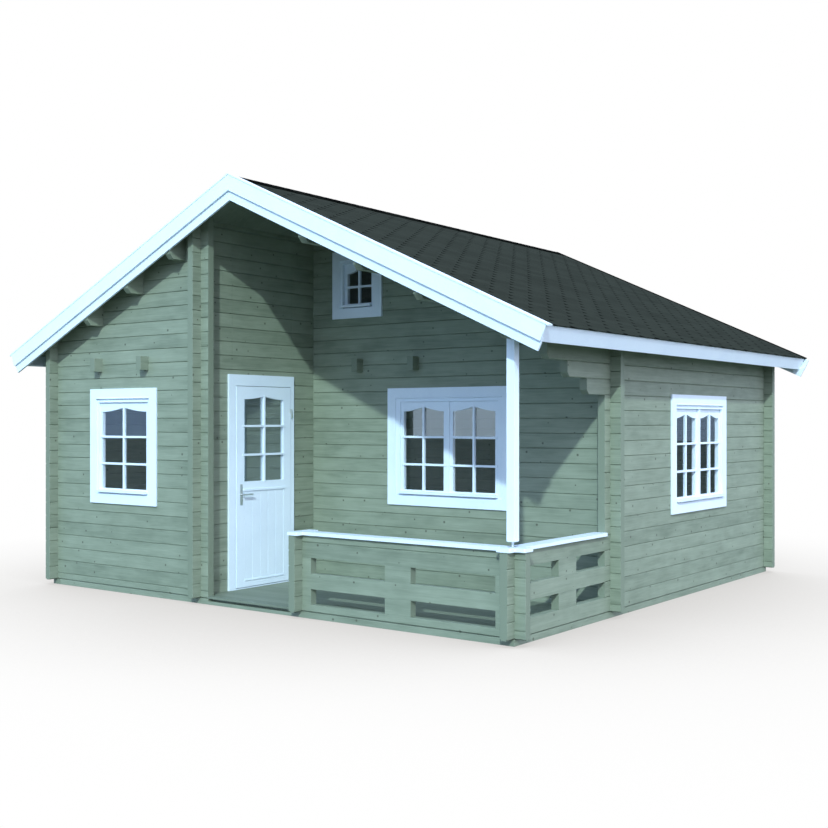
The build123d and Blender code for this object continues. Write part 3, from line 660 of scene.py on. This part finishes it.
def shingle_slope(side, hand):
    """Underlay painted near black as shade between the tabs, a raised strip along the back verge, and courses
    of tabs half a tab out of step.
    """
    ridge, reach, y_low, y_high = slope_reach(f"{hand}_shingles")
    tabs = Pile()
    underlay = slope_ring((0.0, reach), (y_low, y_high), -SHINGLE_THICKNESS)
    slope_solid(tabs, side, ridge, underlay, UNDERLAY_THICKNESS, UNDERLAY_SHADE_TONE)
    underlay_top = UNDERLAY_THICKNESS - SHINGLE_THICKNESS
    verge = slope_ring((0.0, reach), (y_high - VERGE_STRIP_WIDTH, y_high), underlay_top)
    slope_solid(tabs, side, ridge, verge, VERGE_STRIP_PROUD, UNDERLAY_SHADE_TONE)
    for course in range(int((reach - TAB_CUT_HEIGHT) / TAB_EXPOSURE) + 1):
        lower_end = reach - course * TAB_EXPOSURE
        upper_end = max(0.0, lower_end - TAB_EXPOSURE - TAB_LAP)
        shift = TAB_START + (course % 2) * TAB_WIDTH / 2
        for row in rows_between(y_low, y_high, TAB_WIDTH, TAB_SLIT, shift):
            ring = tab_ring(upper_end, lower_end, row, underlay_top - TAB_SINK)
            slope_solid(tabs, side, ridge, ring, TAB_THICKNESS, random.uniform(*TAB_TONES))
    tabs.piece(f"{hand}_shingle_tabs", BITUMEN, "cabin", "shingles", (f"{hand}_shingles",))


def roof_board_slope(side, hand):
    """Roof boards that run from the ridge to the eave."""
    ridge, reach, y_low, y_high = slope_reach(f"{hand}_roof_deck")
    deck = Pile()
    start = DECK_THICKNESS * math.tan(SLOPE)
    for row in rows_between(y_low, y_high, ROOF_BOARD_WIDTH, 0.0):
        ring = slope_ring((start, reach), row, -DECK_THICKNESS)
        slope_solid(deck, side, ridge, ring, DECK_THICKNESS, random.random())
    replaced = (f"{hand}_roof_deck",)
    deck.piece(f"{hand}_roof_boards", BOARDS, "cabin", "roof_boards", replaced, ROOF_BOARD_ROUND)


def ridge_tabs():
    """Tabs folded over the ridge, each lapped over the one behind it."""
    low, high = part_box("ridge_cap")
    cap_drop = ROOF_RISE_SHARE * high.x
    tab_depth = RIDGE_TAB_THICKNESS / math.cos(SLOPE)
    tabs = Pile()
    for row in rows_between(low.y, high.y, RIDGE_EXPOSURE, 0.0):
        back_end = min(high.y, row[0] + RIDGE_LENGTH)
        rings = []
        for y, peak in ((row[0], high.z - tab_depth), (back_end, low.z + cap_drop)):
            over = [(low.x, y, peak - cap_drop), (0.0, y, peak), (high.x, y, peak - cap_drop)]
            rings.append(over + [(x, y, z + tab_depth) for x, y, z in reversed(over)])
        tabs.solid(rings[1], rings[0], random.uniform(*RIDGE_TONES))
    tabs.piece("ridge_tabs", BITUMEN, "cabin", "shingles", ("ridge_cap",))


def floor_boards(node, finish, areas, gap):
    """Boards along X that fill the areas, which are (x low, x high, y low, y high)."""
    low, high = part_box(node)
    pile = Pile()
    for row in rows_between(low.y, high.y, FLOOR_BOARD_WIDTH, 0.0):
        tone = random.random()
        for x_low, x_high, y_low, y_high in areas:
            y = (max(y_low, row[0]), min(y_high, row[1] - gap))
            if y[1] - y[0] > gap:
                pile.box((x_low, x_high), y, (low.z, high.z), tone)
    pile.piece(f"{node}_boards", finish, "cabin", "floor_boards", (node,), FLOOR_BOARD_ROUND)


def porch_boards():
    """The porch floor's boards, which go round the log ends and the railing's stub wall."""
    low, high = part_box("porch_floor")
    entry_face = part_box("entry_wall_front")[1].x
    stub_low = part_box("railing_columns")[0].x
    stub_high = stub_low + LOG_THICKNESS
    stub_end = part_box("railing_columns")[1].y
    front_inner = low.y + LOG_THICKNESS
    floor_boards("porch_floor", BOARDS, [
        (entry_face + LOG_END, stub_low, low.y, front_inner),
        (entry_face, stub_low, front_inner, stub_end),
        (stub_high, high.x, front_inner, stub_end),
        (entry_face, high.x, stub_end, high.y),
    ], PORCH_BOARD_GAP)


def room_boards(node):
    """The boards of an indoor floor: the front room's part, and the part behind the porch."""
    low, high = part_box(node)
    entry_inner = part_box("entry_wall_front")[0].x
    porch_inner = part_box("porch_wall")[1].y
    floor_boards(node, PINE, [
        (low.x, entry_inner, low.y, porch_inner),
        (low.x, high.x, porch_inner, high.y),
    ], ROOM_BOARD_GAP)


def loose_boxes(node):
    """The boxes of a node's separate solids."""
    mesh = bmesh.new()
    mesh.from_mesh(nodes[node].data)
    bmesh.ops.remove_doubles(mesh, verts=mesh.verts, dist=WELD_DISTANCE)
    seen = set()
    boxes = []
    for first in mesh.verts:
        if first in seen:
            continue
        island = [first]
        seen.add(first)
        for corner in island:
            for edge in corner.link_edges:
                other = edge.other_vert(corner)
                if other not in seen:
                    seen.add(other)
                    island.append(other)
        places = [corner.co for corner in island]
        boxes.append((Vector(map(min, zip(*places))), Vector(map(max, zip(*places)))))
    mesh.free()
    return boxes


def wall_side(box):
    """The axis that a flat box on a wall faces along, and whether it faces up or down that axis."""
    low, high = box
    size = high - low
    axis = 0 if size.x < size.y else 1
    return axis, 1 if low[axis] + high[axis] > 0 else -1


def is_within(box, outer):
    """Whether the middle of a box lies in another box, with a log's end to spare."""
    middle = (box[0] + box[1]) / 2
    return all(outer[0][i] - LOG_END < middle[i] < outer[1][i] + LOG_END for i in range(3))


def wall_box(pile, axis, along, depth, z):
    """A box on a wall that faces along axis 0 or 1."""
    depth = sorted(depth)
    if axis == 0:
        pile.box(depth, along, z)
    else:
        pile.box(along, depth, z)


def glazing_bars(pile, pane, facing, rise, step, shares):
    """Bars on both faces of a pane: one upright, and a cross bar at each share of the height."""
    low, high = pane
    axis, out = facing
    along = 1 - axis
    face, back = (high[axis], low[axis]) if out > 0 else (low[axis], high[axis])
    half = BAR_WIDTH / 2
    middle = (low[along] + high[along]) / 2
    head = high.z - rise
    layers = [
        ((face, face + out * step), 0.0, 0.0),
        ((face + out * step, face + out * (step + BAR_PROUD)), BAR_EAR, BAR_FOOT),
        ((back, back - out * INNER_BAR_DEPTH), 0.0, 0.0),
    ]
    for depth, ear, foot in layers:
        wall_box(pile, axis, (middle - half, middle + half), depth, (low.z - foot, high.z + foot))
        for share in shares:
            place = low.z + share * (head - low.z)
            for span in ((low[along] - ear, middle - half), (middle + half, high[along] + ear)):
                wall_box(pile, axis, span, depth, (place - half, place + half))


def window_bars():
    """Glazing bars on every window's panes."""
    bars = Pile()
    for pane in loose_boxes("window_glass"):
        is_attic = pane[1].z - pane[0].z < ATTIC_PANE_HEIGHT
        shares = ATTIC_BAR_SHARES if is_attic else WINDOW_BAR_SHARES
        glazing_bars(bars, pane, wall_side(pane), ARCH_RISE, SASH_STEP, shares)
    bars.piece("window_bars", PAINT, "cabin", "white_paint", (), BAR_ROUND)


def door_bars():
    """Glazing bars on the door's pane."""
    bars = Pile()
    for pane in loose_boxes("door_glass"):
        glazing_bars(bars, pane, DOOR_FACING, DOOR_ARCH_RISE, DOOR_SASH_STEP, WINDOW_BAR_SHARES)
    bars.piece("door_bars", PAINT, "door", "white_paint", (), BAR_ROUND)


def weather_bars():
    """A bar at the foot of each window's sashes, a bead over them and a bead on the head trim."""
    bars = Pile()
    sashes = loose_boxes("window_sashes")
    for window in loose_boxes("window_frames"):
        axis, out = wall_side(window)
        along = 1 - axis
        own = [box for box in sashes if is_within(box, window)]
        front = 1 if out > 0 else 0
        face = window[front][axis]
        lining_face = face - out * LINING_STEP
        sash_span = (min(box[0][along] for box in own), max(box[1][along] for box in own))
        foot = own[0][0].z + WEATHER_BAR_LIFT
        depth = (own[0][front][axis], face + out * WEATHER_BAR_PROUD)
        wall_box(bars, axis, sash_span, depth, (foot, foot + WEATHER_BAR_HEIGHT))
        head = own[0][1].z
        depth = (lining_face, lining_face + out * HEAD_BEAD_PROUD)
        wall_box(bars, axis, sash_span, depth, (head, head + HEAD_BEAD_HEIGHT))
        trim_edge = window[1].z - TRIM_WIDTH
        trim_span = (window[0][along] + TRIM_WIDTH, window[1][along] - TRIM_WIDTH)
        depth = (face, face + out * HEAD_BEAD_PROUD)
        wall_box(bars, axis, trim_span, depth, (trim_edge, trim_edge + HEAD_BEAD_HEIGHT))
    bars.piece("weather_bars", PAINT, "cabin", "white_paint", (), PAINT_ROUND)


def door_boards():
    """Upright boards on both faces of the door's panel, with a ledge and a bead outside."""
    low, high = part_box("door_leaf")
    panel_y = (low.y + DOOR_STILE, high.y - DOOR_STILE)
    panel_foot = low.z + DOOR_PANEL_LOW
    panel_head = panel_foot + DOOR_PANEL_HEIGHT
    outer = high.x - DOOR_PANEL_RECESS
    inner = low.x + DOOR_PANEL_RECESS
    board_width = (panel_y[1] - panel_y[0] - DOOR_BOARD_GAP) / DOOR_BOARD_COUNT
    pile = Pile()
    for number in range(DOOR_BOARD_COUNT):
        start = panel_y[0] + DOOR_BOARD_GAP + number * board_width
        board_y = (start, start + board_width - DOOR_BOARD_GAP)
        pile.box((outer, outer + DOOR_BOARD_THICKNESS), board_y, (panel_foot, panel_head))
        pile.box((inner - DOOR_BOARD_THICKNESS, inner), board_y, (panel_foot, panel_head))
    ledge_y = (panel_y[0] - DOOR_LEDGE_REACH, panel_y[1] + DOOR_LEDGE_REACH)
    ledge_z = (panel_head, panel_head + DOOR_LEDGE_HEIGHT)
    pile.box((high.x, high.x + DOOR_LEDGE_PROUD), ledge_y, ledge_z)
    bead_z = (panel_foot - DOOR_BEAD_HEIGHT, panel_foot)
    pile.box((high.x, high.x + DOOR_BEAD_PROUD), panel_y, bead_z)
    pile.piece("door_boards", PAINT, "door", "white_paint", (), PAINT_ROUND)


def floor_finish():
    """White that glows for the camera, softly shaded near the walls, and is dull for other light."""
    made = bpy.data.materials.new("pale_floor")
    made.use_nodes = True
    tree = made.node_tree
    tree.nodes.clear()
    reach = {"Distance": FLOOR_SHADE_REACH}
    open_air = add(tree, "ShaderNodeAmbientOcclusion", reach, samples=FLOOR_SHADE_SAMPLES).outputs["AO"]
    shade = ramp(tree, open_air, FLOOR_SHADE_SHARES, (FLOOR_SHADE, WHITE))
    glow = add(tree, "ShaderNodeEmission", {"Color": shade}).outputs[0]
    dull = add(tree, "ShaderNodeBsdfDiffuse", {"Color": opaque(FLOOR_BOUNCE)}).outputs[0]
    seen = add(tree, "ShaderNodeLightPath").outputs["Is Camera Ray"]
    both = add(tree, "ShaderNodeMixShader", {0: seen, 1: dull, 2: glow}).outputs[0]
    add(tree, "ShaderNodeOutputMaterial", {"Surface": both})
    return made


def pale_floor():
    """The plain floor under the cabin."""
    mesh = bpy.data.meshes.new("floor")
    half = FLOOR_SIZE / 2
    corners = [(-half, -half, 0), (half, -half, 0), (half, half, 0), (-half, half, 0)]
    mesh.from_pydata(corners, [], [(0, 1, 2, 3)])
    mesh.materials.append(floor_finish())
    floor = bpy.data.objects.new("floor", mesh)
    bpy.context.scene.collection.objects.link(floor)


def sky():
    """Blue sky, paler behind the cabin, and white where the camera sees it.

    A glow from the right lights dull surfaces, and only mirrors show the pale part towards the sun.
    """
    world = bpy.data.worlds.new("sky")
    bpy.context.scene.world = world
    world.use_nodes = True
    tree = world.node_tree
    tree.nodes.clear()
    direction = add(tree, "ShaderNodeTexCoord").outputs["Generated"]
    split = add(tree, "ShaderNodeSeparateXYZ", {"Vector": direction}).outputs
    path = add(tree, "ShaderNodeLightPath").outputs
    turned = add(tree, "ShaderNodeVectorMath", {0: direction, 1: BACK_DIRECTION}, operation="DOT_PRODUCT")
    behind = fade(tree, turned.outputs["Value"], BACK_SHARES)
    tint = blend_of(tree, behind, opaque(SKY_COLOUR), opaque(BACK_COLOUR))
    glow = sum_of(tree, "MULTIPLY", fade(tree, split["X"], GLOW_SHARES), path["Is Diffuse Ray"])
    tint = blend_of(tree, glow, tint, opaque(GLOW_COLOUR))
    sunward = sum_of(tree, "MULTIPLY", fade(tree, split["Y"], SUNWARD_SHARES), path["Is Singular Ray"])
    tint = blend_of(tree, sunward, tint, opaque(SUNWARD_COLOUR))
    shown = blend_of(tree, path["Is Camera Ray"], tint, opaque(WHITE))
    background = add(tree, "ShaderNodeBackground", {"Color": shown}).outputs[0]
    add(tree, "ShaderNodeOutputWorld", {"Surface": background})


def sun():
    """Sunlight from the front right."""
    data = bpy.data.lights.new("sun", "SUN")
    data.energy = SUN_STRENGTH
    data.color = SUN_COLOUR
    data.angle = SUN_ANGLE
    light = bpy.data.objects.new("sun", data)
    light.rotation_mode = "QUATERNION"
    light.rotation_quaternion = Vector(SUN_TRAVEL).to_track_quat("-Z", "Y")
    bpy.context.scene.collection.objects.link(light)


def camera():
    """The camera at the photograph's place."""
    data = bpy.data.cameras.new("camera")
    data.sensor_width = CAMERA_SENSOR
    data.lens = CAMERA_LENS
    data.shift_y = CAMERA_SHIFT
    made = bpy.data.objects.new("camera", data)
    made.location = CAMERA_PLACE
    made.rotation_euler = (CAMERA_PITCH, 0.0, CAMERA_YAW)
    bpy.context.scene.collection.objects.link(made)
    bpy.context.scene.camera = made
    bpy.context.scene.view_settings.view_transform = "Standard"


random.seed(RANDOM_SEED)
finish_nodes()
for side, hand in ((-1, "left"), (1, "right")):
    shingle_slope(side, hand)
    roof_board_slope(side, hand)
ridge_tabs()
porch_boards()
room_boards("cabin_floor")
room_boards("loft_floor")
window_bars()
door_bars()
weather_bars()
door_boards()
pale_floor()
sky()
sun()
camera()
